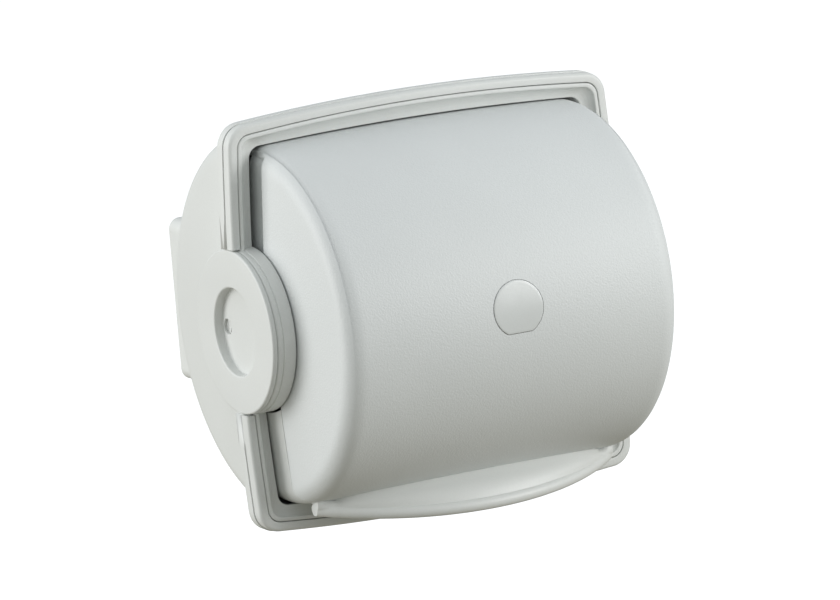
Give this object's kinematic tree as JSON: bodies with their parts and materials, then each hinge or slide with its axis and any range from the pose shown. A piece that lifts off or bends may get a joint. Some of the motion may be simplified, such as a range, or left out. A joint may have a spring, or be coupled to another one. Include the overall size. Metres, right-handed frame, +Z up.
{
  "type": "recessed paper roll holder",
  "caption": "Recessed splash-proof paper roll holder: a half-round tub behind a bowed frame, a drum cover that turns up on side hubs, and a sprung roll spindle.",
  "frame": {"origin": "centre of the wall bracket's back face, which lies on the wall", "axes": "+Z up, +Y into the wall, the front faces -Y, +X along the cover's hinge axis to the right as seen from the front"},
  "size_m": [0.1654, 0.1519, 0.1602],
  "materials": {
    "housing_plastic": "light grey moulded ABS, smooth satin",
    "frame_plastic": "light grey moulded ABS, smooth satin",
    "cap_plastic": "light grey moulded ABS, smooth satin",
    "cover_plastic": "light grey moulded ABS, fine spark-eroded texture",
    "badge_plastic": "light grey moulded ABS, semi-gloss",
    "bush_plastic": "natural acetal, turned smooth",
    "spindle_plastic": "white polypropylene, smooth",
    "ring_rubber": "black nitrile rubber, moulded",
    "screw_steel": "stainless steel, cold-headed",
    "spring_steel": "stainless spring wire, drawn"
  },
  "bodies": {
    "root": {"rear_housing": "housing_plastic", "wall_bracket": "housing_plastic", "bracket_screws": "screw_steel", "inner_frame": "frame_plastic", "upper_trim": "frame_plastic", "lower_trim": "frame_plastic", "lower_lip": "frame_plastic", "lip_screws": "screw_steel", "left_hub_cap": "cap_plastic", "right_hub_cap": "cap_plastic", "left_cap_screws": "screw_steel", "right_cap_screws": "screw_steel", "left_drag_ring": "ring_rubber", "right_drag_ring": "ring_rubber"},
    "cover": {"cover_shell": "cover_plastic", "badge_disc": "badge_plastic", "left_pivot_bush": "bush_plastic", "right_pivot_bush": "bush_plastic"},
    "spindle": {"spindle_sleeve": "spindle_plastic", "spindle_spring": "spring_steel"},
    "plunger": {"spindle_plunger": "spindle_plastic"}
  },
  "joints": [
    {"name": "cover_hinge", "type": "hinge", "parent": "root", "child": "cover", "pos_m": [0, -0.0826, 0], "axis": [-1, 0, 0], "range_deg": [0, 140]},
    {"name": "spindle_spin", "type": "hinge", "parent": "root", "child": "spindle", "pos_m": [0, -0.0826, 0], "axis": [1, 0, 0], "continuous": true},
    {"name": "spindle_slide", "type": "slide", "parent": "spindle", "child": "plunger", "axis": [-1, 0, 0], "range_m": [0, 0.01], "stiffness_N_per_m": 200, "springref_m": -0.015, "deforming": ["spindle_spring"]}
  ]
}
